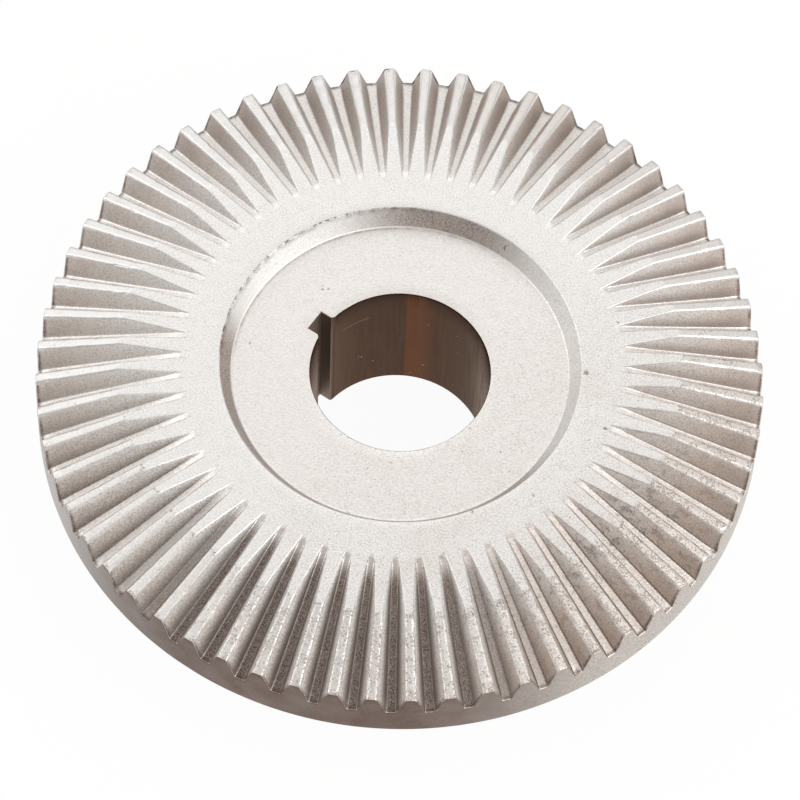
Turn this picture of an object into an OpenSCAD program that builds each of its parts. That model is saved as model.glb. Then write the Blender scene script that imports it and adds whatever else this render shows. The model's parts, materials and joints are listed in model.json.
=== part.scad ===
// Straight bevel gear, pressed and sintered in one piece.
// Sizes are in millimetres. The axis is Z, the hub stands on z = 0 and the toothed face looks up.

/* [Teeth] */
// Number of teeth
teeth = 60; // [50:1:72]
// Number of teeth on the pinion that the gear meshes with, which sets the pitch cone
pinion_teeth = 18; // [15:1:24]
// Pressure angle of the flanks, in degrees
pressure_angle = 20; // [14.5:0.5:22.5]
// Height of the teeth above the pitch cone, in modules
addendum_factor = 1; // [0.7:0.05:1.1]
// Depth of the tooth spaces below the pitch cone, in modules
dedendum_factor = 1.1; // [1:0.05:1.25]
// Radius of the fillets along the bottom of each tooth space
root_fillet = 0.15; // [0.05:0.05:0.2]
// Bevel along the two edges of each tooth top
tip_break = 0.2; // [0.1:0.05:0.3]

/* [Rim] */
// Diameter of the rim, over the ends of the teeth
rim_d = 76.9; // [72:0.1:90]
// Thickness from the flat front face to the back of the rim
rim_t = 9.1; // [8.5:0.1:14]
// Diameter of the flat front face, where the tops of the teeth start to slope down
flat_d = 59.5; // [56:0.1:64]
// Chamfer on the back edge of the rim
rim_chamfer = 0.2; // [0.1:0.05:0.5]

/* [Recess] */
// Diameter of the recess at the front face
recess_d = 38.1; // [36:0.1:40]
// Depth of the recess
recess_depth = 2.1; // [1:0.05:3]
// Draft of the recess wall, measured from the axis, in degrees
recess_draft = 29; // [10:1:40]
// Radius that rounds the edge of the recess
recess_edge_r = 0.25; // [0.1:0.05:0.5]
// Radius of the fillet round the recess floor
recess_fillet = 0.4; // [0.2:0.05:0.6]

/* [Hub] */
// Diameter of the hub behind the rim
hub_d = 34.9; // [32:0.1:44]
// Length of the hub behind the rim
hub_len = 10.9; // [6:0.1:16]
// Radius of the fillet between the hub and the back of the rim
hub_fillet = 1.5; // [0.5:0.1:3]
// Chamfer round the end of the hub
hub_chamfer = 0.5; // [0.2:0.05:1]

/* [Bore] */
// Diameter of the bore
bore_d = 19.05; // [16:0.05:24]
// Chamfer at the end of the bore in the hub
bore_chamfer = 0.35; // [0.1:0.05:0.6]
// Chamfer that breaks the edge of the bore at the recess floor
bore_edge_break = 0.15; // [0.05:0.05:0.4]
// Width of the keyway
keyway_w = 2.38; // [1.5:0.02:4]
// Depth of the keyway below the wall of the bore
keyway_depth = 1.45; // [1:0.05:2.5]
// Chamfer on the two edges where the keyway meets the bore
keyway_chamfer = 0.25; // [0.1:0.05:0.5]
// Direction of the keyway, and of the tooth that it lines up with, in degrees from +X
keyway_angle = 148; // [0:1:359]

/* [Hidden] */

rim_r = rim_d / 2;
flat_r = flat_d / 2;
recess_r = recess_d / 2;
hub_r = hub_d / 2;
bore_r = bore_d / 2;
front_z = hub_len + rim_t;
recess_z = front_z - recess_depth;
recess_floor_r = recess_r - recess_depth * tan(recess_draft);

// Tooth proportions at the rim. The cones of the tops, the pitch line and the roots share one apex.
pitch_angle = atan(teeth / pinion_teeth);
tooth_module = rim_r / (teeth / 2 + addendum_factor * cos(pitch_angle));
cone_distance = teeth * tooth_module / 2 / sin(pitch_angle);
addendum = addendum_factor * tooth_module;
dedendum = dedendum_factor * tooth_module;
face_angle = pitch_angle + atan(addendum / cone_distance);
root_angle = pitch_angle - atan(dedendum / cone_distance);
apex_z = front_z + flat_r / tan(face_angle);

// The cutting shapes reach past the faces that they open on by this much.
overcut = 0.5;
// Steps in a small rounded corner, and in the circles
corner_steps = 4;
$fn = 180;

function unit(v) = v / norm(v);

// The corner p between the points a and b, rounded to radius r by an arc that touches both sides
function corner(a, p, b, r) =
    let (
        u = unit(a - p),
        v = unit(b - p),
        half = acos(u * v) / 2,
        centre = p + unit(u + v) * r / sin(half),
        start = p + u * r / tan(half) - centre,
        end = p + v * r / tan(half) - centre,
        turn = 180 - 2 * half
    )
    [for (i = [0:corner_steps])
        let (along = turn * i / corner_steps)
        centre + (start * sin(turn - along) + end * sin(along)) / sin(turn)];

// Half section of the blank, from the end of the hub round the rim to the recess floor
function blank_section() =
    let (
        tip_z = apex_z - rim_r / tan(face_angle),
        hub_root = [hub_r, hub_len],
        recess_edge = [recess_r, front_z],
        recess_foot = [recess_floor_r, recess_z]
    )
    concat(
        [[0, 0], [hub_r - hub_chamfer, 0], [hub_r, hub_chamfer]],
        corner([hub_r, 0], hub_root, [rim_r, hub_len], hub_fillet),
        [[rim_r - rim_chamfer, hub_len], [rim_r, hub_len + rim_chamfer], [rim_r, tip_z], [flat_r, front_z]],
        corner([flat_r, front_z], recess_edge, recess_foot, recess_edge_r),
        corner(recess_edge, recess_foot, [0, recess_z], recess_fillet),
        [[0, recess_z]]
    );

// Cross section of one tooth space at the rim, with x across the space and y out of the pitch cone.
// On this flat a cone the flanks of the teeth are straight to a few hundredths of a millimetre.
// Above the flanks the section opens at 45 degrees, past the tooth tops, to bevel their edges.
function space_section() =
    let (
        pitch_half = PI * tooth_module / 4,
        edge = addendum - tip_break,
        edge_half = pitch_half + edge * tan(pressure_angle),
        root_half = pitch_half - dedendum * tan(pressure_angle),
        bevel_left = [-edge_half - 2 * tip_break, addendum + tip_break],
        edge_left = [-edge_half, edge],
        root_left = [-root_half, -dedendum],
        root_right = [root_half, -dedendum],
        edge_right = [edge_half, edge],
        bevel_right = [edge_half + 2 * tip_break, addendum + tip_break]
    )
    concat(
        [bevel_left, edge_left],
        corner(edge_left, root_left, root_right, root_fillet),
        corner(root_left, root_right, edge_right, root_fillet),
        [edge_right, bevel_right]
    );

// A point of the section above, drawn towards the apex by the scale s
function toward_apex(p, s) =
    let (
        out = cone_distance * sin(pitch_angle) + p.y * cos(pitch_angle),
        down = cone_distance * cos(pitch_angle) - p.y * sin(pitch_angle)
    )
    [s * out, s * p.x, apex_z - s * down];

// One tooth space, which narrows towards the apex and runs out on the flat front face
module tooth_space() {
    section = space_section();
    n = len(section);
    root_out = cone_distance * sin(pitch_angle) - dedendum * cos(pitch_angle);
    outer = (rim_r + overcut) / root_out;
    runout_r = (apex_z - front_z) * tan(root_angle);
    inner = (runout_r - overcut) / root_out;
    polyhedron(
        points = concat(
            [for (p = section) toward_apex(p, inner)],
            [for (p = section) toward_apex(p, outer)]
        ),
        faces = concat(
            [[for (i = [0:n - 1]) i]],
            [[for (i = [0:n - 1]) 2 * n - 1 - i]],
            [for (i = [0:n - 1]) [i, n + i, n + (i + 1) % n, (i + 1) % n]]
        )
    );
}

// Keyway along the whole bore, on +X, with its two edges broken
module keyway() {
    meet = sqrt(pow(bore_r, 2) - pow(keyway_w / 2, 2));
    half = keyway_w / 2;
    flare = half + 2 * keyway_chamfer;
    translate([0, 0, -overcut])
        linear_extrude(front_z + 2 * overcut)
            polygon([
                [0, -half], [meet - keyway_chamfer, -flare], [meet + keyway_chamfer, -half],
                [bore_r + keyway_depth, -half], [bore_r + keyway_depth, half],
                [meet + keyway_chamfer, half], [meet - keyway_chamfer, flare], [0, half]
            ]);
}

// The bore through the hub and the recess floor, with both of its edges broken
module bore() {
    translate([0, 0, -overcut]) cylinder(r = bore_r, h = front_z + 2 * overcut);
    edge_break(bore_chamfer);
    translate([0, 0, recess_z]) mirror([0, 0, 1]) edge_break(bore_edge_break);
}

// A cone that takes a chamfer of the given size off the edge of the bore in the plane z = 0
module edge_break(size) {
    translate([0, 0, -overcut])
        cylinder(r1 = bore_r + size + overcut, r2 = bore_r - overcut, h = size + 2 * overcut);
}

module bevel_gear() {
    color([0.79, 0.77, 0.74])
        rotate([0, 0, keyway_angle])
            difference() {
                rotate_extrude() polygon(blank_section());
                for (i = [0:teeth - 1])
                    rotate([0, 0, (i + 0.5) * 360 / teeth]) tooth_space();
                bore();
                keyway();
            }
}

bevel_gear();
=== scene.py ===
"""Straight bevel gear in sintered steel: its finished surface, a plain stage and the camera.

The gear is one closed surface. Round the axis it is a grid of columns, and along its section a row of rings:
over the teeth and down the rim, back along the hub, up through the keyed bore and out of the recess.
Lengths are in metres, the axis is Z and the end of the hub stands on z = 0.
"""

import functools
import json
import math
from types import SimpleNamespace

import bpy
import numpy as np
from bpy.props import FloatProperty, FloatVectorProperty, IntProperty, PointerProperty
from mathutils import Matrix, Vector


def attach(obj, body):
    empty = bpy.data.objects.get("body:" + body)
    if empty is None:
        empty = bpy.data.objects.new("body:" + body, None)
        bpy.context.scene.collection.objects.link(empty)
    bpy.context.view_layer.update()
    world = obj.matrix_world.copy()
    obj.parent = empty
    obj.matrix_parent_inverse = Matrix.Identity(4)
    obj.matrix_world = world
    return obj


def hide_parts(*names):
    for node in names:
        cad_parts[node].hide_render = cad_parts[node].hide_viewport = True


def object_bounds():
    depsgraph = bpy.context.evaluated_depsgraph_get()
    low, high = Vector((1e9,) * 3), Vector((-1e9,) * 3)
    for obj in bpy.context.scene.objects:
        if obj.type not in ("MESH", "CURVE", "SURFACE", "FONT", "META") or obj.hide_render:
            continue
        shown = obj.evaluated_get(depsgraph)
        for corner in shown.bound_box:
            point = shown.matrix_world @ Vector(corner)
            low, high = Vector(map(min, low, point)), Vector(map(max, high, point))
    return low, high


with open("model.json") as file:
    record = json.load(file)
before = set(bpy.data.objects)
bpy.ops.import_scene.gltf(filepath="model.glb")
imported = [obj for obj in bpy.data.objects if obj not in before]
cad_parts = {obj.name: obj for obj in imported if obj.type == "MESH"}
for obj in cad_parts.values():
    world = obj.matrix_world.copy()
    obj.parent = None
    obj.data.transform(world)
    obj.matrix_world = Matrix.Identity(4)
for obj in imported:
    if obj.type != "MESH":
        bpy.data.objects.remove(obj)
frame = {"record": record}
CAD_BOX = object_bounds()

bl_info = {
    "name": "Bevel Gear",
    "version": (1, 0, 0),
    "blender": (4, 5, 0),
    "location": "View3D > Sidebar > Gear",
    "description": "Builds a sintered bevel gear with a keyed bore, its finish and a plain stage",
    "category": "Add Mesh",
}

MM = 0.001
IMAGE_SIDE = 800
SENSOR_WIDTH = 36.0
FLOOR_REACH = 3.0
LIGHTS = ("back", "left", "right", "corner", "top")
BORE_MOUNT = next(m for m in frame["record"]["mounts"] if m["kind"] == "bore")

# Small marks on the front face and the recess floor: place along X and Y, and radius, in millimetres
MARKS = (
    (-0.51, -11.02, 0.16), (19.55, -0.25, 0.36), (14.35, -15.15, 0.2), (8.1, -17.48, 0.18), (10.55, 15.2, 0.16),
    (-16.03, 2.63, 0.14), (10.83, -9.11, 0.14), (-8.6, 10.1, 0.14), (-8.1, 9.75, 0.12), (-8.7, 9.6, 0.1),
    (22.79, 6.08, 0.16), (21.7, -6.9, 0.26),
)
# Slow waves of the pressed surface: length in millimetres, share of the height, and seed
WAVES = ((4.3, 1.0, 1), (1.7, 0.5, 2), (0.8, 0.3, 3))
# Material slots of the mesh
STEEL, RIM, BORE = range(3)
# Columns of the tooth ring to each column of the rear grid
COLUMN_RATIO = 4
# Rings of the tooth ring along its run-out on the face, along the tooth and down the rim
KINK_STEPS, TOOTH_STEPS, RIM_ROWS = 9, 23, 6
# Rings of the tooth ring on the rounding at the rim, without and with the last ring before it
RIM_EDGE, TOOTH_END = slice(-6, -4), slice(-7, -4)
# Rings of the rear grid in the recess, counted from its end on the flat face
LIP, LIP_CREST, RECESS_WALL, RECESS_FOOT = slice(-7, -3), slice(-6, -4), slice(-10, -6), slice(-14, -12)
# Multipliers of the noise's hash, for the three axes, the seed and two rounds of mixing
HASH_AXES, HASH_SEED = (73856093, 19349663, 83492791), 2654435761
HASH_ROUNDS = ((15, 2246822519), (13, 3266489917))
HASH_BITS = 0xFFFFFFFF


def length(name, millimetres, description):
    """A length property, given in millimetres and kept in metres."""
    return FloatProperty(
        name=name, description=description, default=millimetres * MM, min=0.0, unit="LENGTH", precision=5
    )


def angle(name, degrees, description):
    """An angle property, given in degrees and kept in radians."""
    return FloatProperty(name=name, description=description, default=math.radians(degrees), subtype="ANGLE")


def factor(name, value, description, top=1.0):
    """A plain number from 0 to top."""
    return FloatProperty(name=name, description=description, default=value, min=0.0, max=top, subtype="FACTOR")


def direction(name, value, description):
    """A direction in space."""
    return FloatVectorProperty(name=name, description=description, default=value, size=3, subtype="DIRECTION")


def colour(name, value, description):
    """A linear colour property."""
    return FloatVectorProperty(
        name=name, description=description, default=value, size=3, min=0.0, max=1.0, subtype="COLOR"
    )


class GearShape(bpy.types.PropertyGroup):
    """Sizes of the gear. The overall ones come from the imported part."""

    teeth: IntProperty(name="Teeth", description="Number of teeth", default=60, min=20)
    pinion_teeth: IntProperty(
        name="Pinion teeth", description="Teeth of the mating pinion, which set the cone", default=18, min=8
    )
    pressure_angle: angle("Pressure angle", 20, "Slope of the flanks")
    addendum: factor("Addendum", 1.0, "Height of the teeth above the pitch cone, in modules", 2.0)
    dedendum: factor("Dedendum", 1.1, "Depth of the spaces below the pitch cone, in modules", 2.0)
    tip_round: length("Tip round", 0.3, "Radius along the edges of the tooth tops")
    root_round: length("Root round", 0.2, "Radius along the bottom of the tooth spaces")
    mouth_round: length("Mouth round", 0.11, "Width of the rounding where a space opens on the flat face")
    end_round: length("End round", 0.1, "Depth of the blend where a root runs out on the flat face")
    kink_round: length("Kink round", 0.06, "Depth of the blend where a top starts to slope")
    rim_round: length("Rim round", 0.12, "Radius along the outer ends of the teeth")
    rim_d: length("Rim diameter", (CAD_BOX[1].x - CAD_BOX[0].x) / MM, "Diameter over the ends of the teeth")
    height: length("Height", CAD_BOX[1].z / MM, "From the end of the hub to the front face")
    rim_t: length("Rim thickness", 9.1, "From the front face to the back of the rim")
    rim_chamfer: length("Rim chamfer", 0.2, "Chamfer on the back edge of the rim")
    flat_d: length("Flat diameter", 59.5, "Where the tops of the teeth start to slope down")
    recess_d: length("Recess diameter", 38.1, "Diameter of the recess at the front face")
    recess_depth: length("Recess depth", 2.1, "Depth of the recess")
    recess_draft: angle("Recess draft", 29, "Slope of the recess wall from the axis")
    recess_edge: length("Recess edge", 0.2, "Radius round the edge of the recess")
    recess_fillet: length("Recess fillet", 0.28, "Radius round the floor of the recess")
    hub_d: length("Hub diameter", 34.9, "Diameter of the hub")
    hub_fillet: length("Hub fillet", 1.5, "Radius between the hub and the back of the rim")
    hub_chamfer: length("Hub chamfer", 0.5, "Chamfer round the end of the hub")
    bore_r: length("Bore radius", BORE_MOUNT["dims"]["r_mm"], "Radius of the bore")
    bore_edge: length("Bore edge", 0.15, "Rounding of the bore's edge in the recess")
    bore_chamfer: length("Bore chamfer", 0.35, "Chamfer of the bore at the end of the hub")
    keyway_w: length("Keyway width", 2.38, "Width of the keyway")
    keyway_depth: length("Keyway depth", 1.45, "Depth of the keyway below the wall of the bore")
    keyway_chamfer: length("Keyway chamfer", 0.25, "Chamfer where the keyway meets the bore")
    keyway_angle: angle("Keyway angle", 148, "Direction of the keyway and of the tooth in line with it")
    wave: length("Waviness", 0.012, "Height of the slow unevenness of the pressed surface")
    nick: length("Nicks", 0.11, "Depth of the nicks along the edges of the teeth")


class GearFinish(bpy.types.PropertyGroup):
    """Colours and roughness of the gear's surfaces."""

    steel: colour("Steel", (0.83, 0.838, 0.832), "Clean sintered steel")
    # bright: metal rubbed bright on the edges, also used as a painted highlight along the roots and edges and
    # for painted glints in the grain
    bright: colour("Bright", (0.95, 0.935, 0.91), "Metal rubbed bright on the edges")
    stain: colour("Stain", (0.70, 0.625, 0.565), "Faint brown stains on the steel")
    # dirt_and_shade: real oil and dirt in the grain and pores, also painted shade deep in the tooth spaces, on
    # the recess wall, at the far edges and on the flanks behind
    dirt_and_shade: colour("Dirt", (0.30, 0.225, 0.185), "Oil and dirt in the grain and in the tooth spaces")
    pit: colour("Pit", (0.15, 0.11, 0.09), "Bottom of the open pores")
    # dark_lines_and_shade: the dark lines round the lip, the tooth ends and the fillets, and the painted shade
    # on the roots and flanks in front
    dark_lines_and_shade: colour("Soot", (0.085, 0.053, 0.041), "Dark film on the roots in front")
    # The three rim colours are a painted reflection: grey at the left, light at the right, dark brown in front
    # and behind
    rim_left_painted_reflection: colour("Rim grey", (0.55, 0.515, 0.49), "Rim at the left")
    rim_right_painted_reflection: colour("Rim light", (0.68, 0.625, 0.57), "Rim at the right")
    rim_painted_dark_reflection: colour("Rim brown", (0.135, 0.076, 0.053), "Brown skin on the rim in front")
    # In the bore, the dark brown skin is deepened with painted shade, the streak is a painted reflection and
    # the darker right side is painted shade
    bore: colour("Bore", (0.063, 0.037, 0.028), "Brown skin in the bore")
    bore_light: colour("Bore light", (0.105, 0.066, 0.050), "Paler drawing lines down the bore")
    bore_painted_reflection_streak: colour("Bore streak", (0.122, 0.053, 0.030), "Red-brown streak down the bore")
    bore_painted_shade: colour("Bore dark", (0.044, 0.029, 0.025), "Darker skin at the right of the bore")
    bore_tint: colour("Bore tint", (0.80, 0.69, 0.62), "Tint of the bore's skin seen at a slant")
    keyway: colour("Keyway", (0.31, 0.245, 0.205), "Bare metal in the keyway")
    scratch: colour("Scratch", (0.42, 0.36, 0.32), "Bare metal in a scratch")
    roughness: factor("Roughness", 0.36, "Roughness of the sintered surface")
    space_roughness: factor("Space roughness", 0.66, "Roughness inside the tooth spaces")
    space_film: factor("Space film", 0.5, "Share of matt film on the flanks")


class GearStage(bpy.types.PropertyGroup):
    """Floor, light and camera."""

    floor: colour("Floor", (0.93, 0.93, 0.93), "Colour of the floor")
    floor_glow: factor("Floor glow", 0.95, "How far the floor shows as the white background")
    room: colour("Room", (0.30, 0.265, 0.24), "Dim room between the lights")
    horizon: colour("Horizon", (0.97, 0.97, 0.97), "Pale band at the horizon")
    back_light: direction("Back light", (-0.07, 0.745, 0.663), "Where the soft light behind the gear stands")
    back_strength: factor("Back strength", 1.18, "Strength of the light behind", 4.0)
    back_spread: angle("Back spread", 15.5, "How far the light behind spreads")
    corner_light: direction(
        "Corner light", (0.302, 0.679, 0.669), "Where the soft light behind at the right stands"
    )
    corner_strength: factor("Corner strength", 0.32, "Strength of the light behind at the right", 4.0)
    corner_spread: angle("Corner spread", 16, "How far the light behind at the right spreads")
    left_light: direction("Left light", (-0.802, 0.141, 0.581), "Where the soft light at the left stands")
    left_strength: factor("Left strength", 1.65, "Strength of the light at the left", 4.0)
    left_spread: angle("Left spread", 21, "How far the light at the left spreads")
    right_light: direction("Right light", (0.769, -0.364, 0.525), "Where the soft light at the right stands")
    right_strength: factor("Right strength", 2.4, "Strength of the light at the right", 4.0)
    right_spread: angle("Right spread", 26, "How far the light at the right spreads")
    top_light: direction("Top light", (0.0, -0.03, 1.0), "Where the soft light overhead stands")
    top_strength: factor("Top strength", 0.11, "Strength of the light overhead", 4.0)
    top_spread: angle("Top spread", 14, "How far the light overhead spreads")
    camera_distance: length("Camera distance", 484.05, "From the camera to the middle of the front face")
    camera_elevation: angle("Camera elevation", 60.703, "Height of the camera above the horizon")
    camera_roll: angle("Camera roll", 2.6695, "Turn of the camera about its own axis")
    focal_px: FloatProperty(name="Focal length", description="In pixels of the image", default=4600.0, min=1.0)
    middle_x: FloatProperty(name="Middle X", description="Pixel of the front face's middle", default=400.608)
    middle_y: FloatProperty(name="Middle Y", description="Pixel of the front face's middle", default=361.735)


def corner_arc(before, corner, after, radius, steps):
    """Arc of the given radius that touches both sides of a corner.

    Its centre lies on the bisector at radius / sin(half angle), and its points swing evenly from one
    touching point to the other.
    """
    before, corner, after = (np.asarray(p, float) for p in (before, corner, after))
    u = (before - corner) / np.linalg.norm(before - corner)
    v = (after - corner) / np.linalg.norm(after - corner)
    half = math.acos(float(u @ v)) / 2
    centre = corner + (u + v) / np.linalg.norm(u + v) * radius / math.sin(half)
    start = corner + u * radius / math.tan(half) - centre
    end = corner + v * radius / math.tan(half) - centre
    turn = math.pi - 2 * half
    swing = np.linspace(0, turn, steps + 1)[:, None]
    return centre + (start * np.sin(turn - swing) + end * np.sin(swing)) / math.sin(turn)


def between(a, b, shares):
    """Points at the given shares of the way from a to b."""
    a, b = np.asarray(a, float), np.asarray(b, float)
    return a + np.reshape(shares, (-1,) + (1,) * a.ndim) * (b - a)


def lattice_noise(points, seed):
    """Smooth noise from -1 to 1: a hashed value at each lattice corner, eased between the eight corners."""
    cell = np.floor(points).astype(np.int64)
    share = points - cell
    share = share * share * (3 - 2 * share)
    total = np.zeros(len(points))
    for corner in np.ndindex(2, 2, 2):
        x, y, z = ((cell + corner) & 0xFFFFF).T * np.reshape(HASH_AXES, (3, 1))
        key = (x ^ y ^ z ^ seed * HASH_SEED) & HASH_BITS
        for shift, multiplier in HASH_ROUNDS:
            key = (key ^ (key >> shift)) * multiplier & HASH_BITS
        value = ((key ^ (key >> 16)) & 0xFFFF) / 0x7FFF - 1
        total += value * np.prod(np.where(corner, share, 1 - share), axis=1)
    return total


def smooth_step(low, high, value):
    """0 below low, 1 above high and an even rise between them."""
    t = np.clip((value - low) / (high - low), 0, 1)
    return t * t * (3 - 2 * t)


def smooth_min(a, b, reach):
    """The lower of a and b, blended over the given reach where they come close."""
    return np.minimum(a, b) - np.maximum(reach - np.abs(a - b), 0) ** 2 / (4 * reach)


class Cones:
    """The cones of the tops, pitch line and roots, which share one apex above the front face."""

    def __init__(self, g):
        self.pitch_angle = math.atan(g.teeth / g.pinion_teeth)
        self.module = g.rim_d / 2 / (g.teeth / 2 + g.addendum * math.cos(self.pitch_angle))
        self.distance = g.teeth * self.module / 2 / math.sin(self.pitch_angle)
        self.addendum = g.addendum * self.module
        self.dedendum = g.dedendum * self.module
        self.tip_slope = 1 / math.tan(self.pitch_angle + math.atan(self.addendum / self.distance))
        self.root_slope = 1 / math.tan(self.pitch_angle - math.atan(self.dedendum / self.distance))
        self.apex_z = g.height + g.flat_d / 2 * self.tip_slope
        self.face_z = g.height

    def depth(self, slope):
        """How deep in the tooth space a ray of the given slope runs: 0 on the tops and 1 on the roots."""
        return np.clip((slope - self.tip_slope) / (self.root_slope - self.tip_slope), 0, 1)

    def meet(self, slope):
        """Radius at which a ray of the given slope passes the flat face."""
        return (self.apex_z - self.face_z) / slope


def tooth_columns(g, cones):
    """Angle round the axis, slope and steepness across the tooth of every column of the tooth ring.

    Each line of a tooth is a ray from the apex, so it keeps its angle and falls by a constant slope. One half
    pitch is drawn where it meets the rim, unrolled: top, rounded edge, straight flank, fillet and root.
    It is mirrored in the middle of the space and repeated for each tooth.
    """
    rim_r = g.rim_d / 2
    lean = math.tan(g.pressure_angle)
    pitch_half = math.pi * cones.module / 4
    out = cones.distance * math.sin(cones.pitch_angle)
    tilt = math.cos(cones.pitch_angle)
    tip_x = math.atan2(pitch_half + cones.addendum * lean, out + cones.addendum * tilt) * rim_r
    root_x = math.atan2(pitch_half - cones.dedendum * lean, out - cones.dedendum * tilt) * rim_r
    middle = math.pi / g.teeth * rim_r
    top = np.array([0.0, -cones.tip_slope * rim_r])
    tip = np.array([middle - tip_x, top[1]])
    root = np.array([middle - root_x, -cones.root_slope * rim_r])
    space = np.array([middle, root[1]])
    edge = corner_arc(top, tip, root, g.tip_round, 3)
    fillet = corner_arc(tip, root, space, g.root_round, 3)
    half = np.concatenate([
        between(top, edge[0], [0, 0.55]),
        edge,
        between(edge[-1], fillet[0], [0.3, 0.7]),
        fillet,
        between(fillet[-1], space, [0.55, 1]),
    ])
    mirrored = half[-2:0:-1] * [-1, 1] + [2 * middle, 0]
    pitch = np.concatenate([half, mirrored])
    turns = np.arange(g.teeth)[:, None] * 2 * middle
    x = (turns + pitch[None, :, 0]).ravel()
    z = np.tile(pitch[:, 1], g.teeth)
    ahead, behind = np.roll(pitch, -1, 0), np.roll(pitch, 1, 0)
    run = (ahead[:, 0] - behind[:, 0]) % (2 * middle)
    steep = np.tile(np.abs(ahead[:, 1] - behind[:, 1]) / run, g.teeth)
    return g.keyway_angle + x / rim_r, -z / rim_r, steep


def tooth_ring(g, cones, turn, slope, steep, inner_r):
    """Rings over the teeth from inner_r on the flat face out to the rim, and down to just below the roots.

    The height is the lower of the flat face and the column's ray, blended where they meet. At the rim the
    surface turns down on a small arc and then runs down the cylinder.
    """
    rim_r = g.rim_d / 2
    reach = g.kink_round + g.mouth_round * steep + g.end_round * cones.depth(slope) ** 2
    meet = cones.meet(slope)
    width = reach / slope
    end_r = rim_r - g.rim_round
    radius = np.concatenate([
        between(np.full_like(meet, inner_r), meet - width, [0, 0.35, 0.7, 0.9]),
        meet + width * np.linspace(-1, 1, KINK_STEPS)[:, None],
        between(meet + width, np.full_like(meet, end_r), np.linspace(0, 1, TOOTH_STEPS + 1)[1:]),
    ])
    z = g.height + smooth_min(0, cones.apex_z - slope * radius - g.height, reach)
    swing = np.radians([30, 60, 90])[:, None]
    arc_r = end_r + g.rim_round * np.sin(swing) + 0 * slope
    arc_z = cones.apex_z - slope * arc_r - g.rim_round * (1 - np.cos(swing))
    low_z = cones.apex_z - cones.root_slope * rim_r - 4 * g.rim_round
    wall_z = between(arc_z[-1], np.full_like(slope, low_z), [0.3, 0.65, 1])
    radius = np.concatenate([radius, arc_r, np.full_like(wall_z, rim_r)])
    z = np.concatenate([z, arc_z, wall_z])
    return np.stack([radius * np.cos(turn), radius * np.sin(turn), z], axis=-1), low_z


def bore_outline(g, count):
    """Outline of the keyed bore and its outward normals, counterclockwise from the middle of the keyway.

    Half of it is the bottom, side and chamfer of the keyway and then the arc of the bore to the far side.
    """
    half = g.keyway_w / 2
    bottom = g.bore_r + g.keyway_depth
    shoulder = math.sqrt(g.bore_r**2 - half**2) + g.keyway_chamfer
    line = shoulder + half
    meet_y = (line - math.sqrt(2 * g.bore_r**2 - line**2)) / 2
    meet = np.array([line - meet_y, meet_y])
    keyed = np.concatenate([
        between((bottom, 0), (bottom, half), [0, 1 / 3, 2 / 3]),
        between((bottom, half), (shoulder, half), [0, 0.25, 0.5, 0.75]),
        between((shoulder, half), meet, [0, 0.5]),
    ])
    start = math.atan2(meet[1], meet[0])
    swing = np.linspace(start, 2 * math.pi - start, count - 2 * len(keyed) + 1)
    arc = g.bore_r * np.stack([np.cos(swing), np.sin(swing)], axis=-1)
    points = np.concatenate([keyed, arc, keyed[:0:-1] * [1, -1]])
    ahead = np.roll(points, -1, 0) - points
    normal = np.stack([ahead[:, 1], -ahead[:, 0]], axis=-1)
    normal /= np.linalg.norm(normal, axis=1, keepdims=True)
    mitre = normal + np.roll(normal, 1, 0)
    mitre /= np.linalg.norm(mitre, axis=1, keepdims=True)
    mitre /= np.maximum(np.sum(mitre * normal, axis=1, keepdims=True), 0.5)
    cos, sin = math.cos(g.keyway_angle), math.sin(g.keyway_angle)
    rotation = np.array([[cos, sin], [-sin, cos]])
    return points @ rotation, mitre @ rotation


def turned(section, turn):
    """Rings of a turned surface from section points (radius, height)."""
    section = np.asarray(section)
    radius, z = section[:, :1], section[:, 1:]
    return np.stack([radius * np.cos(turn), radius * np.sin(turn), z + 0 * turn], axis=-1)


def lifted(outline, z):
    """A ring at height z from a flat outline."""
    return np.concatenate([outline, np.broadcast_to(np.reshape(z, (-1, 1)), (len(outline), 1))], axis=1)


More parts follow.
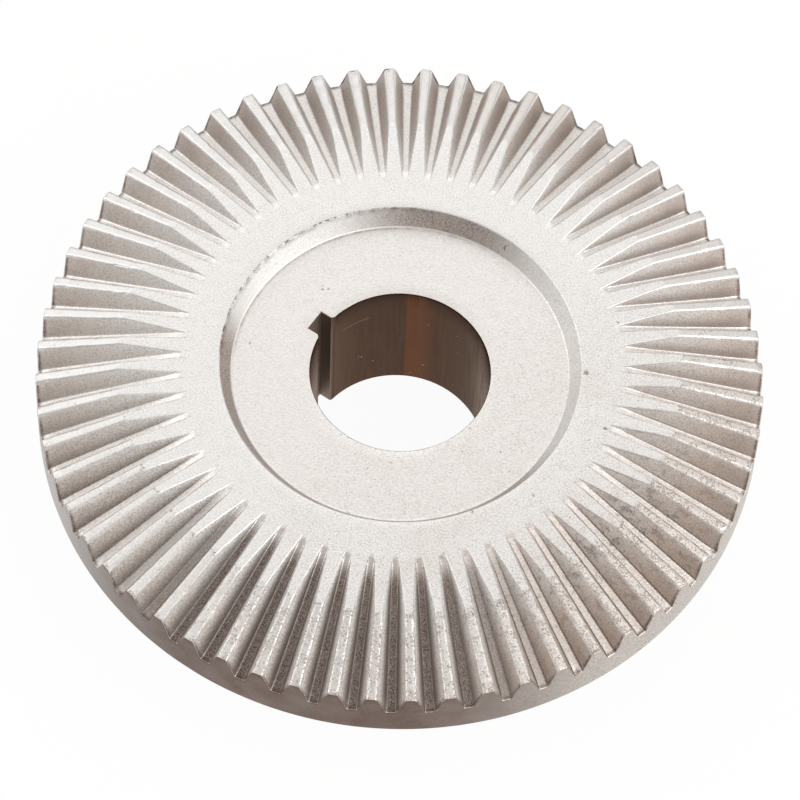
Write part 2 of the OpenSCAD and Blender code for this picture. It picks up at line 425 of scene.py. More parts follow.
def back_and_bore(g, count, low_z, inner_r):
    """Rings from the rim round the hub, up the keyed bore and out of the recess to the flat face.

    Turned stretches come from a section of lines and arcs, and the keyed ones from the bore's outline, moved
    along its normals for the broken edges. Where the two meet, rings run straight from one to the other.
    With the rings come the number of those on the rim and the first and last of those on the bore.
    """
    turn = g.keyway_angle + np.arange(count) * 2 * math.pi / count
    rim_r, hub_r, recess_r = g.rim_d / 2, g.hub_d / 2, g.recess_d / 2
    back_z = g.height - g.rim_t
    floor_z = g.height - g.recess_depth
    floor_r = recess_r - g.recess_depth * math.tan(g.recess_draft)
    rim = np.array([
        (rim_r, low_z - 0.3 * (low_z - back_z)),
        (rim_r, back_z + 2 * g.rim_chamfer),
        (rim_r, back_z + 1.1 * g.rim_chamfer),
        (rim_r - 0.3 * g.rim_chamfer, back_z + 0.4 * g.rim_chamfer),
        (rim_r - 1.1 * g.rim_chamfer, back_z),
    ])
    root = corner_arc((rim_r, back_z), (hub_r, back_z), (hub_r, 0), g.hub_fillet, 6)
    hub = np.concatenate([
        between(rim[-1], root[0], [0.1, 0.4, 0.7]),
        root,
        between(root[-1], (hub_r, g.hub_chamfer), [0.35, 0.7, 1]),
        [(hub_r - g.hub_chamfer, 0)],
    ])
    outside = turned(np.concatenate([rim, hub]), turn)
    outline, normal = bore_outline(g, count)
    keyed = np.hypot(outline[:, 0], outline[:, 1]) > g.bore_r * 1.004
    end_break = np.where(keyed, 0.25, 1.0) * g.bore_chamfer
    hub_end = between(outside[-1], lifted(outline + normal * end_break[:, None], 0), [0.3, 0.7, 1])
    wall = between(lifted(outline, end_break), lifted(outline, floor_z - g.bore_edge), np.linspace(0, 1, 7))
    edge = np.stack([
        lifted(outline + normal * g.bore_edge * (1 - math.sin(s)), floor_z - g.bore_edge * (1 - math.cos(s)))
        for s in np.radians([60, 30, 0])
    ])
    fillet = corner_arc((0, floor_z), (floor_r, floor_z), (recess_r, g.height), g.recess_fillet, 4)
    lip = corner_arc((floor_r, floor_z), (recess_r, g.height), (rim_r, g.height), g.recess_edge, 4)
    recess = turned(np.concatenate([
        fillet,
        between(fillet[-1], lip[0], [0.35, 0.7]),
        lip,
        between(lip[-1], (inner_r, g.height), [0.25, 0.6]),
    ]), turn)
    floor = between(edge[-1], recess[0], [0.15, 0.5, 0.965])
    rings = np.concatenate([outside, hub_end, wall, edge, floor, recess])
    bore_first = len(outside) + len(hub_end) - 1
    bore_last = bore_first + len(wall) + 2
    return rings, len(rim), (bore_first, bore_last)


def grid_quads(first, rows, columns):
    """Quads of a grid that closes on itself round the axis, wound so that they face outwards."""
    row, column = np.meshgrid(np.arange(rows - 1), np.arange(columns), indexing="ij")
    here = first + row * columns
    after = (column + 1) % columns
    quads = [here + column, here + columns + column, here + columns + after, here + after]
    return np.stack(quads, axis=-1).reshape(-1, 4)


def step_triangles(fine, coarse, coarse_first):
    """Triangles that join a fine ring to a coarse one, whose steps are a whole number of fine steps."""
    ratio = len(fine) // len(coarse)
    index = np.arange(len(fine))
    apex = coarse[(index // ratio + (index % ratio >= ratio // 2)) % len(coarse)]
    after = np.roll(fine, -1)
    small = [apex, fine, after] if coarse_first else [fine, apex, after]
    middle = fine[np.arange(len(coarse)) * ratio + ratio // 2]
    ahead = np.roll(coarse, -1)
    wide = [coarse, middle, ahead] if coarse_first else [middle, coarse, ahead]
    return np.concatenate([np.stack(small, axis=-1), np.stack(wide, axis=-1)])


def vertex_normals(points, quads, triangles):
    """Normals of the vertices, each face weighted by its area."""
    normal = np.zeros_like(points)
    for faces in (quads, triangles):
        first = points[faces[:, 0]]
        second, third, last = (points[faces[:, i]] - first for i in (1, 2, -1))
        cross = np.cross(second, third)
        cross += np.cross(third, last)
        for corner in faces.T:
            np.add.at(normal, corner, cross)
    return normal / np.linalg.norm(normal, axis=1, keepdims=True)


def mesh_from_arrays(name, points, quads, triangles, materials):
    """A mesh from whole arrays of points, quads and triangles, with a material index for each face."""
    mesh = bpy.data.meshes.new(name)
    mesh.vertices.add(len(points))
    mesh.vertices.foreach_set("co", points.astype(np.float32).ravel())
    corners = np.concatenate([quads.ravel(), triangles.ravel()]).astype(np.int32)
    mesh.loops.add(len(corners))
    mesh.loops.foreach_set("vertex_index", corners)
    starts = np.concatenate([np.arange(len(quads)) * 4, quads.size + np.arange(len(triangles)) * 3])
    mesh.polygons.add(len(starts))
    mesh.polygons.foreach_set("loop_start", starts.astype(np.int32))
    mesh.polygons.foreach_set("material_index", materials.astype(np.int32))
    mesh.polygons.foreach_set("use_smooth", np.ones(len(starts), bool))
    mesh.update(calc_edges=True)
    if mesh.validate():
        raise RuntimeError(f"{name}: the mesh had faults")
    return mesh


def tooth_values(g, cones, slope, front, facing_y):
    """Values on the tooth ring that the finish works with, and the share of nicks along its edges.

    Along a column they follow the distance past the point where its ray leaves the flat face, and the distance
    to the rim. Across the columns they follow the depth in the tooth space.
    """
    depth = cones.depth(slope)
    radius = np.hypot(front[..., 0], front[..., 1])
    past = radius - cones.meet(slope)
    short = radius - g.rim_d / 2
    inside = smooth_step(-0.15 * MM, 0.05 * MM, past)
    end = smooth_step(-0.5 * MM, -0.12 * MM, short)
    edge = np.exp(-((depth - 0.03) / 0.025) ** 2) * smooth_step(0, 0.5 * MM, past)
    for value in (inside, end, edge):
        value[-RIM_ROWS:] = 0
    edge[RIM_EDGE] = 0.6
    # far: the edges whose normals face back, which get a painted shade line
    far = edge * smooth_step(0.25, 0.6, facing_y)
    mouth = np.exp(-(past / (0.16 * MM)) ** 2) * smooth_step(0.1, 0.3, depth) * smooth_step(0.95, 0.8, depth)
    values = {
        "groove": np.broadcast_to(depth, radius.shape),
        "inside": inside,
        "top": (depth < 0.02) * smooth_step(-0.6 * MM, 0.5 * MM, past),
        "edge": edge - far,
        "far_edge": far,
        "end": end,
        "outer": smooth_step(-5 * MM, -0.3 * MM, short),
        "run": smooth_step(0, 3 * MM, past),
        "mouth": mouth * smooth_step(0.0, -0.3, facing_y),
    }
    edge[TOOTH_END] = 1.4
    return values, edge


def rear_values(g, rear, bore_rows):
    """Values on the rear grid that the finish works with, and 1 on the rings of the bore."""
    on_bore, lip, foot, wall = np.zeros((4, *rear.shape[:2]))
    on_bore[bore_rows[0]:bore_rows[1] + 1] = 1
    lip[LIP] = 0.6
    lip[LIP_CREST] = 1
    foot[RECESS_FOOT] = 1
    wall[RECESS_WALL] = 1
    keyway = on_bore * smooth_step(1.005, 1.03, np.hypot(rear[..., 0], rear[..., 1]) / g.bore_r)
    return {"lip": lip, "foot": foot, "wall": wall, "keyway": keyway}, on_bore


def roughened(g, points, normals, edge, on_bore):
    """Points moved inwards along their normals by slow waves, and by nicks where the edge share is high.

    The waves are a sum of noises, less its highest value, so that no point moves out. The bore is calmer.
    """
    mm = points / MM
    wave = sum(share * lattice_noise(mm / size, seed) for size, share, seed in WAVES)
    highest = sum(share for _, share, _ in WAVES)
    bite = smooth_step(0.25, 0.8, lattice_noise(mm / 0.75, 4) + 0.35 * lattice_noise(mm / 2.6, 5))
    calm = 1 - 0.8 * on_bore
    return points + normals * (g.wave * (wave - highest) * 0.5 * calm - g.nick * (edge * bite))[:, None]


def gear_surface(g):
    """All points, faces, face materials and vertex attributes of the gear."""
    cones = Cones(g)
    turn, slope, steep = tooth_columns(g, cones)
    columns, coarse = len(turn), len(turn) // COLUMN_RATIO
    inner_r = cones.meet(cones.root_slope) - 1.1 * MM
    front, low_z = tooth_ring(g, cones, turn, slope, steep, inner_r)
    rear, rim_rows, bore_rows = back_and_bore(g, coarse, low_z, inner_r)
    rows, rear_rows = len(front), len(rear)
    points = np.concatenate([front.reshape(-1, 3), rear.reshape(-1, 3)])
    rear_first = rows * columns
    quads = np.concatenate([grid_quads(0, rows, columns), grid_quads(rear_first, rear_rows, coarse)])
    ring, step = np.arange(columns), np.arange(coarse)
    triangles = np.concatenate([
        step_triangles((rows - 1) * columns + ring, rear_first + step, False),
        step_triangles(ring, rear_first + (rear_rows - 1) * coarse + step, True),
    ])
    front_row = np.repeat(np.arange(rows - 1), columns)
    rear_row = np.repeat(np.arange(rear_rows - 1), coarse)
    in_bore = (rear_row >= bore_rows[0]) & (rear_row < bore_rows[1])
    materials = np.concatenate([
        np.where(front_row >= rows - RIM_ROWS, RIM, STEEL),
        np.where(rear_row < rim_rows - 1, RIM, np.where(in_bore, BORE, STEEL)),
        np.full(columns + coarse, RIM),
        np.full(columns + coarse, STEEL),
    ])
    normals = vertex_normals(points, quads, triangles)
    facing_y = normals[:rear_first, 1].reshape(rows, columns)
    on_teeth, edge = tooth_values(g, cones, slope, front, facing_y)
    behind, on_bore = rear_values(g, rear, bore_rows)
    no_teeth, no_rear = np.zeros(rear_first), np.zeros(rear_rows * coarse)
    attributes = {name: np.concatenate([value.ravel(), no_rear]) for name, value in on_teeth.items()}
    for name, value in behind.items():
        attributes[name] = np.concatenate([no_teeth, value.ravel()])
    edge, on_bore = np.concatenate([edge.ravel(), no_rear]), np.concatenate([no_teeth, on_bore.ravel()])
    return roughened(g, points, normals, edge, on_bore), quads, triangles, materials, attributes


class Nodes:
    """One node tree with short names for its nodes. Most methods return the socket that they end in."""

    def __init__(self, owner):
        owner.use_nodes = True
        self.tree = owner.node_tree
        self.tree.nodes.clear()

    def feed(self, socket, value):
        """Link a socket to another one, or set it to a value. A colour is given as three numbers."""
        if isinstance(value, bpy.types.NodeSocket):
            self.tree.links.new(value, socket)
        elif socket.type == "RGBA":
            socket.default_value = (*value, 1.0)
        else:
            socket.default_value = value

    def add(self, kind, inputs=None, **settings):
        """A node with its settings made and its inputs fed."""
        node = self.tree.nodes.new(kind)
        for name, value in settings.items():
            setattr(node, name, value)
        for name, value in (inputs or {}).items():
            self.feed(node.inputs[name], value)
        return node

    def maths(self, operation, a, b=0.0):
        """The result of one Math node."""
        return self.add("ShaderNodeMath", {0: a, 1: b}, operation=operation).outputs[0]

    def chain(self, operation, values):
        """Several values, each joined to those before it by a Math node."""
        return functools.reduce(functools.partial(self.maths, operation), values)

    def times(self, *values):
        """The product of several values."""
        return self.chain("MULTIPLY", values)

    def plus(self, *values):
        """The sum of several values."""
        return self.chain("ADD", values)

    def most(self, *values):
        """The highest of several values."""
        return self.chain("MAXIMUM", values)

    def minus(self, a, b):
        """The first value less the second."""
        return self.maths("SUBTRACT", a, b)

    def vector(self, operation, a, b):
        """The outputs of one Vector Math node."""
        return self.add("ShaderNodeVectorMath", {0: a, 1: b}, operation=operation).outputs

    def ramp(self, value, low, high, to_low=0.0, to_high=1.0):
        """A smooth rise from to_low to to_high as value goes from low to high."""
        inputs = {"Value": value, "From Min": low, "From Max": high, "To Min": to_low, "To Max": to_high}
        return self.add("ShaderNodeMapRange", inputs, interpolation_type="SMOOTHSTEP").outputs["Result"]

    def above(self, value, cut, soft):
        """0 where the value is below a cut, rising to 1 over a soft step above it."""
        return self.ramp(self.minus(value, cut), 0.0, soft)

    def window(self, value, low, high, soft):
        """1 where the value lies from low to high, with soft ends."""
        return self.times(self.ramp(value, low - soft, low + soft), self.ramp(value, high + soft, high - soft))

    def facing(self, turn, low, high, soft):
        """1 where the angle round the axis lies from low to high, with soft ends, all in degrees."""
        return self.window(turn, math.radians(low), math.radians(high), math.radians(soft))

    def noise(self, place, scale, detail=2.0, rough=0.6):
        """A noise value of about 0 to 1. The scale is in waves to the millimetre."""
        inputs = {"Vector": place, "Scale": scale, "Detail": detail, "Roughness": rough}
        return self.add("ShaderNodeTexNoise", inputs).outputs["Fac"]

    def attribute(self, name):
        """The value of a vertex attribute."""
        return self.add("ShaderNodeAttribute", attribute_name=name).outputs["Fac"]

    def mixed(self, share, a, b):
        """The colour a mixed with the colour b by a share."""
        mix = self.add("ShaderNodeMix", {"Factor": share, "A": a, "B": b}, data_type="RGBA")
        return next(s for s in mix.outputs if s.type == "RGBA")


def new_material(name):
    """A metal material: its nodes, its shader, the place on it in millimetres and the parts of that place."""
    material = bpy.data.materials.new(name)
    n = Nodes(material)
    shader = n.add("ShaderNodeBsdfPrincipled", {"Metallic": 1.0})
    n.add("ShaderNodeOutputMaterial", {"Surface": shader.outputs[0]})
    coords = n.add("ShaderNodeTexCoord").outputs["Object"]
    place = n.add("ShaderNodeMapping", {"Vector": coords, "Scale": (1 / MM,) * 3}).outputs[0]
    parts = n.add("ShaderNodeSeparateXYZ", {"Vector": place}).outputs
    return material, n, shader, place, parts


def dress(n, shader, base, roughness, height, relief):
    """Give a shader its colour, its roughness and a bump whose relief is in millimetres."""
    bump = n.add("ShaderNodeBump", {"Height": height, "Strength": 1.0, "Distance": relief * MM}).outputs[0]
    for name, value in (("Base Color", base), ("Roughness", roughness), ("Normal", bump)):
        n.feed(shader.inputs[name], value)


def steel_values(n, place, parts):
    """Values that the layers of the sintered steel share: vertex attributes, noises, and zones of the gear.

    Most zones are windows of the angle round the axis, which is 0 at the right and -90 degrees in front.
    """
    names = ("groove", "inside", "run", "top", "edge", "end", "outer", "far_edge", "mouth",
             "lip", "wall", "foot")
    v = SimpleNamespace(**{name: n.attribute(name) for name in names})
    v.place, v.z = place, parts["Z"]
    v.fine = n.noise(place, 5.5, 1.0)
    v.grain = n.noise(place, 4.6, rough=0.7)
    v.patch = n.noise(place, 0.9)
    v.cloud = n.noise(place, 0.13, 3.0)
    v.facing = functools.partial(n.facing, n.maths("ARCTAN2", parts["Y"], parts["X"]))
    v.away = n.maths("SQRT", n.plus(n.times(parts["X"], parts["X"]), n.times(parts["Y"], parts["Y"])))
    v.worn = v.facing(-122, 5, 24)
    v.front = v.facing(-130, -66, 14)
    v.shaded = v.facing(-165, -112, 14)
    v.ahead = n.most(v.worn, v.shaded)
    v.lit = v.facing(0, 60, 17)
    v.right = n.ramp(parts["X"], -8.0, 26.0)
    v.flank = n.times(v.inside, n.ramp(v.groove, 0.03, 0.17), n.ramp(v.groove, 0.97, 0.93))
    # behind: the flanks at the back, which get painted shade
    v.behind = n.times(v.flank, n.ramp(parts["Y"], 18.0, 34.0))
    v.fillet = n.window(v.groove, 0.93, 0.996, 0.006)
    v.wear = n.times(v.top, n.ramp(v.worn, 0.0, 1.0, 0.1, 1.0))
    return v


def stained_steel(n, v, f):
    """Clean steel with a painted highlight along the roots, brown stains, mostly on the flanks, painted shade
    on the flanks near the rim, and a darker back.
    """
    # root: the roots, made brighter with the bright colour as a painted highlight
    root = n.times(v.inside, n.ramp(v.groove, 0.97, 0.99))
    flanks = n.minus(n.ramp(v.right, 0.0, 1.0, 0.45, 0.9), n.times(v.lit, 0.28))
    flanks = n.times(v.flank, flanks, n.ramp(v.away, 28.5, 35.0, 0.35, 1.0))
    clouds = n.times(v.worn, n.ramp(v.cloud, 0.42, 0.72, 0.0, 0.35), n.ramp(v.away, 18.5, 19.5, 0.3, 1.0))
    tops = n.times(v.top, v.right, n.ramp(v.lit, 0.0, 1.0, 0.6, 0.2))
    roots = n.times(root, v.facing(-72, -36, 12), 0.6)
    recess = n.ramp(v.away, 19.0, 17.5, 0.0, 0.2)
    back = n.times(n.ramp(v.z, 11.2, 10.8), n.ramp(v.cloud, 0.3, 0.7, 0.38, 0.5))
    # outer_flank_shade: painted shade on the flanks near the rim, more towards the right
    outer_flank_shade = n.times(v.flank, v.outer, n.ramp(v.right, 0.2, 1.0, 0.2, 0.32))
    base = n.mixed(n.times(root, 0.8), f.steel, f.bright)
    base = n.mixed(n.most(flanks, clouds, tops, roots), base, f.stain)
    base = n.mixed(recess, base, f.stain)
    base = n.mixed(back, base, f.dirt_and_shade)
    return n.mixed(outer_flank_shade, base, f.dirt_and_shade)


def dirt_and_shade_share(n, v):
    """Where the dirt colour goes: real smudges and chips; dark lines along the fillets, darker tooth ends, dull
    edges at the left front and darker mouths; and painted shade deep in the spaces, on the recess wall, at the
    far edges and on the flanks behind, with a painted shadow at the foot of the recess wall.
    """
    line = n.most(n.times(v.worn, 0.55), n.times(v.shaded, n.ramp(v.fine, 0.35, 0.6, 0.8, 0.5)))
    line = n.times(v.fillet, v.run, line, n.minus(1.0, v.front))
    # deep: painted shade, darker deeper in the tooth spaces
    deep = n.times(v.flank, n.ramp(v.groove, 0.35, 0.93), n.ramp(v.lit, 0.0, 1.0, 0.1, 0.5))
    smudge = n.times(v.flank, v.facing(-65, -15, 12), n.above(v.patch, 0.52, 0.15), 0.4)
    ends = n.times(v.end, v.inside, n.ramp(v.groove, 0.1, 0.25), 0.5)
    chipped = n.times(v.end, n.ramp(v.groove, 0.5, 0.3), v.facing(-175, -40, 14), n.above(v.patch, 0.46, 0.1),
                      n.ramp(v.fine, 0.35, 0.55, 0.95, 0.6))
    dull = n.times(v.edge, v.facing(-165, -80, 14), n.ramp(v.fine, 0.4, 0.6, 0.15, 0.5))
    mouth = n.times(v.mouth, v.facing(-60, 30, 15), n.ramp(v.fine, 0.35, 0.5, 0.35, 0.8))
    # high, low and wall: painted shade on the recess wall at the top and at the lower left, broken by the grain
    high = n.times(v.facing(55, 100, 14), n.ramp(v.grain, 0.35, 0.6, 0.85, 0.45))
    low = n.most(v.facing(168, 200, 9), v.facing(-200, -38, 12))
    low = n.times(low, n.ramp(v.grain, 0.35, 0.6, 0.9, 0.55))
    wall = n.times(v.wall, n.most(high, low))
    # foot: a painted shadow line where the recess wall meets its floor
    foot = n.times(v.foot, v.facing(60, 175, 12), n.ramp(v.patch, 0.4, 0.6, 0.25, 0.5))
    # far: painted shade on the tooth edges that face back and on the flanks behind
    far = n.most(n.times(v.far_edge, 0.8), n.times(v.behind, 0.35))
    return n.most(line, deep, smudge, ends, chipped, dull, mouth, wall, foot, far)


def dark_line_share(n, v):
    """Where dark lines run: along the recess's lip behind, round the tooth ends and down front fillets."""
    lip = n.times(v.lip, v.facing(85, 190, 11), n.ramp(v.patch, 0.4, 0.6, 0.35, 1.0),
                  n.ramp(v.fine, 0.35, 0.5, 0.2, 1.0))
    ends = n.times(n.ramp(v.end, 0.25, 0.8), v.inside, n.ramp(v.groove, 0.06, 0.2),
                   n.ramp(v.patch, 0.36, 0.56, 0.3, 0.9), n.ramp(v.fine, 0.62, 0.4, 0.5, 1.0))
    fillets = n.times(v.fillet, v.run, v.facing(-86, -28, 9), n.ramp(v.fine, 0.62, 0.4, 0.2, 0.5))
    return n.most(lip, ends, fillets)


def front_painted_shade(n, v):
    """Share of the painted shade on the roots and flanks in front, darker deeper in the spaces, which thins
    towards the flat face.
    """
    dust = n.noise(v.place, 9.0, 1.0)
    roots = n.times(v.facing(-136, -67, 13), n.ramp(v.groove, 0.985, 0.9995),
                    n.ramp(dust, 0.62, 0.4, 0.72, 1.0))
    flanks = n.most(n.times(v.facing(-128, -73, 16), n.ramp(v.groove, 0.17, 0.93), 0.84),
                    n.times(v.shaded, n.ramp(v.groove, 0.5, 0.95), 0.3))
    flanks = n.times(flanks, v.flank)
    running = n.times(v.inside, n.ramp(v.run, 0.0, 1.0, 0.4, 1.0))
    return n.times(n.most(roots, flanks), running)


def grained(n, v, f, base):
    """The colour with bright grains, as painted glints, on the tops and the flanks at the left front, and dark
    grains all over.
    """
    grainy = v.facing(-165, -88, 12)
    sparkle = n.most(n.times(v.top, v.ahead), n.times(v.flank, grainy, 0.5))
    base = n.mixed(n.times(sparkle, n.ramp(v.fine, 0.53, 0.63), 0.3), base, f.bright)
    handled = n.most(v.worn, v.facing(-60, 28, 15))
    clean_top = n.times(v.top, n.minus(1.0, v.ahead))
    dark = n.times(n.ramp(handled, 0.0, 1.0, 0.22, 0.29), n.ramp(v.away, 18.0, 19.5, 0.6, 1.0),
                   n.ramp(v.patch, 0.35, 0.65, 0.75, 1.25), n.ramp(clean_top, 0.0, 1.0, 1.0, 0.5))
    dark = n.plus(dark, n.times(v.flank, n.ramp(grainy, 0.0, 1.0, 0.11, 0.22)))
    return n.mixed(n.times(n.ramp(v.fine, 0.62, 0.35), dark), base, f.dirt_and_shade)


def pores(n, v):
    """1 in the open pores: where the grain passes a cut, lower on worn tops and where they start to slope."""
    kink = n.times(n.window(v.top, 0.3, 0.8, 0.2), v.facing(-165, 8, 16))
    uneven = n.times(v.top, n.ramp(v.patch, 0.38, 0.6, 0.07, -0.04))
    cut = n.plus(n.ramp(v.wear, 0.0, 1.0, 0.68, 0.52), uneven)
    cut = n.minus(cut, n.times(kink, n.ramp(v.worn, 0.0, 1.0, 0.19, 0.11)))
    return n.above(v.grain, cut, 0.1)


def cracks_and_marks(n, v):
    """1 in fine cracks, where a noise passes its middle, and in the small marks on the face."""
    crack = n.window(n.noise(v.place, 0.6), 0.495, 0.505, 0.005)
    crack = n.times(crack, n.above(v.grain, 0.55, 0.05), v.worn)
    squiggle = n.window(n.noise(v.place, 1.3), 0.485, 0.515, 0.015)
    squiggle = n.times(squiggle, n.above(v.patch, 0.5, 0.06), v.facing(-82, -24, 10),
                       n.window(v.away, 27.5, 33.0, 1.5))
    flat = n.vector("MULTIPLY", v.place, (1, 1, 0))[0]
    ragged = n.ramp(v.grain, 0.3, 0.7, -0.12, 0.12)
    spots = []
    for x, y, radius in MARKS:
        off = n.plus(n.vector("DISTANCE", flat, (x, y, 0))["Value"], ragged)
        spots.append(n.ramp(off, radius, radius * 0.5))
    return n.most(crack, squiggle, *spots)


def sintered_steel(f):
    """Pale sintered steel: fine grain, pores, edges rubbed bright with a painted highlight, worn tooth tops
    and painted shade deep in the spaces.

    Wear, dirt and painted shade grow towards the front and the right of the gear. Across a tooth space the
    painted shade thickens with the depth. A matt film on the flanks takes away part of the metal's gloss.
    """
    material, n, shader, place, parts = new_material("sintered_skin")
    v = steel_values(n, place, parts)
    pit = pores(n, v)
    # rubbed_and_highlight: edges and the lip in front rubbed bright, also a painted highlight
    rubbed_and_highlight = n.most(n.times(v.edge, v.worn, n.ramp(v.grain, 0.6, 0.44, 0.0, 0.5)),
                    n.times(v.lip, v.facing(-150, -60, 14), 0.7))
    base = stained_steel(n, v, f)
    base = n.mixed(dirt_and_shade_share(n, v), base, f.dirt_and_shade)
    base = n.mixed(dark_line_share(n, v), base, f.dark_lines_and_shade)
    # painted shade on the roots and flanks in front
    base = n.mixed(front_painted_shade(n, v), base, f.dark_lines_and_shade)
    base = grained(n, v, f, base)
    base = n.mixed(n.times(pit, n.ramp(v.wear, 0.0, 1.0, 0.8, 0.5)), base, f.dirt_and_shade)
    base = n.mixed(rubbed_and_highlight, base, f.bright)
    base = n.mixed(n.times(cracks_and_marks(n, v), 0.7), base, f.pit)

    matt = n.ramp(n.most(v.lit, v.front), 0.0, 1.0, f.space_film, f.space_film + 0.35)
    matt = n.minus(matt, n.times(v.behind, 0.3))
    film = n.most(n.times(v.flank, matt), n.times(v.edge, v.shaded, 0.35))
    n.feed(shader.inputs["Metallic"], n.minus(1.0, film))
    rough = n.ramp(v.grain, 0.3, 0.7, f.roughness - 0.06, f.roughness + 0.08)
    coarse = n.most(v.flank, n.times(v.wall, 0.6), n.times(v.edge, v.shaded))
    rough = n.plus(rough, n.times(coarse, f.space_roughness - f.roughness), n.times(pit, 0.15))
    height = n.minus(n.plus(n.times(v.fine, 0.6), n.times(v.grain, 0.6)), pit)
    dress(n, shader, base, rough, height, 0.03)
    return material


def rim_skin(f):
    """The rim where it slid in the die: smoother, with a painted reflection: grey at the left, light at the
    right, dark brown in front and behind.
    """
    material, n, shader, place, parts = new_material("rim_skin")
    fine = n.noise(place, 4.5, 1.0)
    cloud = n.noise(place, 0.3, 3.0)
    pit = n.above(n.noise(place, 2.0, rough=0.7), 0.66, 0.06)
    # toward and brown: the painted dark reflection in front and behind
    toward = n.plus(n.times(parts["Y"], -0.97), n.times(parts["X"], -0.27))
    brown = n.times(n.ramp(toward, 23.0, 37.5), n.ramp(cloud, 0.2, 0.8, 0.8, 1.0))
    brown = n.most(brown, n.ramp(parts["Y"], 5.0, 30.0, 0.0, 0.75))
    base = n.mixed(n.ramp(parts["X"], -20.0, 30.0), f.rim_left_painted_reflection, f.rim_right_painted_reflection)
    base = n.mixed(brown, base, f.rim_painted_dark_reflection)
    base = n.mixed(n.times(pit, 0.5), base, f.pit)
    base = n.mixed(n.ramp(fine, 0.35, 0.62, 0.4, 0.0), base, f.pit)
    dress(n, shader, base, n.ramp(fine, 0.2, 0.8, 0.34, 0.48), n.minus(fine, pit), 0.015)
    return material


def machined_bore(f):
    """The machined wall of the bore: dark brown skin deepened with painted shade, smooth, with a painted
    red-brown reflection streak, painted shade at its right and fine scratches.
    """
    material, n, shader, place, parts = new_material("machined_bore")
    stretch = n.add("ShaderNodeMapping", {"Vector": place, "Scale": (1.0, 1.0, 0.08)}).outputs[0]
    lines = n.noise(stretch, 2.0, 3.0)
    turn = n.maths("ARCTAN2", parts["Y"], parts["X"])
    keyway = n.attribute("keyway")

    def swing(low, high):
        """A smooth rise from 0 to 1 between two angles round the axis, in degrees."""
        return n.ramp(turn, math.radians(low), math.radians(high))

    ring = n.times(n.window(parts["Z"], 13.66, 13.74, 0.04), n.facing(turn, 112, 132, 1.146))
    nicks = n.above(n.noise(place, 1.6, rough=0.7), 0.71, 0.05)
    base = n.mixed(n.ramp(lines, 0.35, 0.7, 0.0, 0.5), f.bore, f.bore_light)
    # a painted reflection streak
    base = n.mixed(n.times(swing(66, 80), swing(88.5, 86.5)), base, f.bore_painted_reflection_streak)
    # painted shade at the right of the bore
    base = n.mixed(swing(62, 34), base, f.bore_painted_shade)
    base = n.mixed(n.times(n.most(ring, nicks), 0.5), base, f.scratch)
    base = n.mixed(keyway, base, f.keyway)
    n.feed(shader.inputs["Specular Tint"], f.bore_tint)
    rough = n.plus(n.ramp(lines, 0.3, 0.7, 0.22, 0.34), n.times(keyway, 0.3))
    dress(n, shader, base, rough, lines, 0.006)
    return material


class OBJECT_OT_bevel_gear_body(bpy.types.Operator):
    """Build the gear's finished surface in place of its plain solid"""

    bl_idname = "object.bevel_gear_body"
    bl_label = "Gear Body"

    def execute(self, context):
        g, f = context.scene.gear_shape, context.scene.gear_finish
        points, quads, triangles, materials, attributes = gear_surface(g)
        mesh = mesh_from_arrays("gear_body", points, quads, triangles, materials)
        for name, values in attributes.items():
            layer = mesh.attributes.new(name, "FLOAT", "POINT")
            layer.data.foreach_set("value", values.astype(np.float32))
        mesh.set_sharp_from_angle(angle=math.radians(38))
        for material in (sintered_steel(f), rim_skin(f), machined_bore(f)):
            mesh.materials.append(material)
        gear = bpy.data.objects.new("gear_body", mesh)
        context.scene.collection.objects.link(gear)
        weighted = gear.modifiers.new("Weighted Normal", "WEIGHTED_NORMAL")
        weighted.keep_sharp = True
        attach(gear, "root")
        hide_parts("bevel_gear")
        return {"FINISHED"}


def pale_floor(s):
    """A wide pale floor at the foot of the hub, which keeps a soft shadow and otherwise shows as white.

    It is white for rays straight from the camera or by way of gloss or glass. From below it is clear, so that
    the back of the gear can be seen.
    """
    side = np.array([-1.0, 1.0]) * FLOOR_REACH
    x, y = np.meshgrid(side, side)
    corners = np.stack([x.ravel(), y.ravel(), np.zeros(4)], axis=-1)
    mesh = bpy.data.meshes.new("floor")
    mesh.from_pydata(corners.tolist(), [], [(0, 1, 3, 2)])
    material = bpy.data.materials.new("pale_floor")
    n = Nodes(material)
    matte = n.add("ShaderNodeBsdfDiffuse", {"Color": s.floor}).outputs[0]
    white = n.add("ShaderNodeEmission", {"Color": (1, 1, 1), "Strength": 1.0}).outputs[0]
    path = n.add("ShaderNodeLightPath").outputs
    seen = n.most(path["Is Camera Ray"], path["Is Glossy Ray"], path["Is Transmission Ray"])
    pale = n.add("ShaderNodeMixShader", {0: n.times(seen, s.floor_glow), 1: matte, 2: white}).outputs[0]
    under = n.add("ShaderNodeNewGeometry").outputs["Backfacing"]
    clear = n.add("ShaderNodeBsdfTransparent").outputs[0]
    shown = n.add("ShaderNodeMixShader", {0: under, 1: pale, 2: clear}).outputs[0]
    n.add("ShaderNodeOutputMaterial", {"Surface": shown})
    mesh.materials.append(material)
    floor = bpy.data.objects.new("floor", mesh)
    bpy.context.scene.collection.objects.link(floor)


def soft_light(n, seen, toward, spread, strength):
    """Brightness of a soft light: strength times exp((cosine of the angle from it - 1) / spread squared)."""
    cosine = n.vector("DOT_PRODUCT", seen, Vector(toward).normalized())["Value"]
    fall = n.maths("DIVIDE", n.minus(cosine, 1.0), spread**2)
    return n.times(n.maths("EXPONENT", fall), strength)


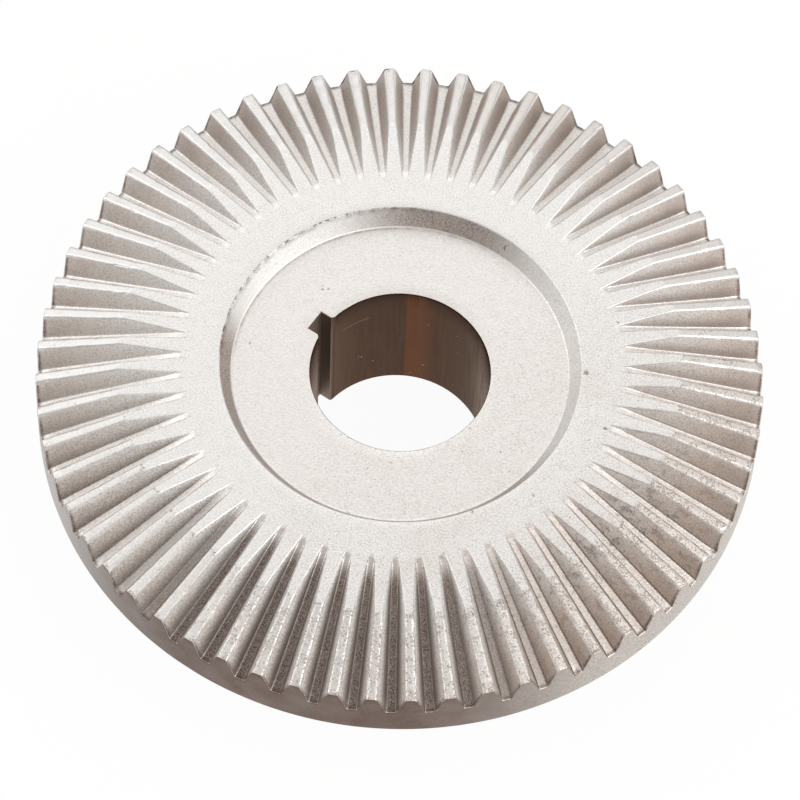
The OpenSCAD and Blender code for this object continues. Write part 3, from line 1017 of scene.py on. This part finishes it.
def studio_sky(s):
    """The surroundings: soft lights behind, behind at the right, at both sides and overhead, in a dim room.

    Near the horizon there is a pale band all round, which low views show as the background.
    """
    world = bpy.data.worlds.new("studio")
    bpy.context.scene.world = world
    n = Nodes(world)
    seen = n.add("ShaderNodeTexCoord").outputs["Generated"]
    height = n.add("ShaderNodeSeparateXYZ", {"Vector": seen}).outputs["Z"]
    shade = n.mixed(n.ramp(height, 0.13, 0.06), s.room, s.horizon)
    room = n.add("ShaderNodeBackground", {"Color": shade, "Strength": 1.0}).outputs[0]
    glows = [soft_light(n, seen, *(getattr(s, f"{name}_{part}") for part in ("light", "spread", "strength")))
             for name in LIGHTS]
    lights = n.add("ShaderNodeBackground", {"Color": (1, 1, 1), "Strength": n.plus(*glows)}).outputs[0]
    both = n.add("ShaderNodeAddShader", {0: room, 1: lights}).outputs[0]
    n.add("ShaderNodeOutputWorld", {"Surface": both})


def place_camera(s, front_z):
    """The camera, set so that the middle of the front face falls on its pixel of the square image."""
    data = bpy.data.cameras.new("camera")
    data.sensor_fit = "HORIZONTAL"
    data.sensor_width = SENSOR_WIDTH
    data.lens = s.focal_px / IMAGE_SIDE * SENSOR_WIDTH
    data.clip_start, data.clip_end = 0.01, 100.0
    back = Vector((0, -math.cos(s.camera_elevation), math.sin(s.camera_elevation)))
    level = Vector((1, 0, 0))
    upward = back.cross(level)
    cos, sin = math.cos(s.camera_roll), math.sin(s.camera_roll)
    right, up = level * cos + upward * sin, upward * cos - level * sin
    reach = s.camera_distance / s.focal_px
    shift = right * (s.middle_x - IMAGE_SIDE / 2) * reach - up * (s.middle_y - IMAGE_SIDE / 2) * reach
    place = Vector((0, 0, front_z)) + back * s.camera_distance - shift
    camera = bpy.data.objects.new("camera", data)
    rotation = Matrix((right, up, back)).transposed().to_4x4()
    camera.matrix_world = Matrix.Translation(place) @ rotation
    bpy.context.scene.collection.objects.link(camera)
    bpy.context.scene.camera = camera


class SCENE_OT_bevel_gear_stage(bpy.types.Operator):
    """Set up the floor, the light and the camera"""

    bl_idname = "scene.bevel_gear_stage"
    bl_label = "Stage"

    def execute(self, context):
        s = context.scene.gear_stage
        pale_floor(s)
        studio_sky(s)
        place_camera(s, context.scene.gear_shape.height)
        context.scene.view_settings.view_transform = "Standard"
        return {"FINISHED"}


class VIEW3D_PT_bevel_gear(bpy.types.Panel):
    """Sizes, finish and stage of the gear, with a button for each step"""

    bl_idname = "VIEW3D_PT_bevel_gear"
    bl_label = "Bevel Gear"
    bl_space_type = "VIEW_3D"
    bl_region_type = "UI"
    bl_category = "Gear"

    def draw(self, context):
        for group, operator in ((context.scene.gear_shape, None),
                                (context.scene.gear_finish, OBJECT_OT_bevel_gear_body.bl_idname),
                                (context.scene.gear_stage, SCENE_OT_bevel_gear_stage.bl_idname)):
            for name in type(group).__annotations__:
                self.layout.prop(group, name)
            if operator:
                self.layout.operator(operator)


CLASSES = (
    GearShape, GearFinish, GearStage, OBJECT_OT_bevel_gear_body, SCENE_OT_bevel_gear_stage, VIEW3D_PT_bevel_gear
)


def register():
    for cls in CLASSES:
        bpy.utils.register_class(cls)
    bpy.types.Scene.gear_shape = PointerProperty(type=GearShape)
    bpy.types.Scene.gear_finish = PointerProperty(type=GearFinish)
    bpy.types.Scene.gear_stage = PointerProperty(type=GearStage)


def unregister():
    del bpy.types.Scene.gear_stage
    del bpy.types.Scene.gear_finish
    del bpy.types.Scene.gear_shape
    for cls in reversed(CLASSES):
        bpy.utils.unregister_class(cls)


def main():
    register()
    bpy.ops.object.bevel_gear_body()
    bpy.ops.scene.bevel_gear_stage()


if __name__ == "__main__":
    main()
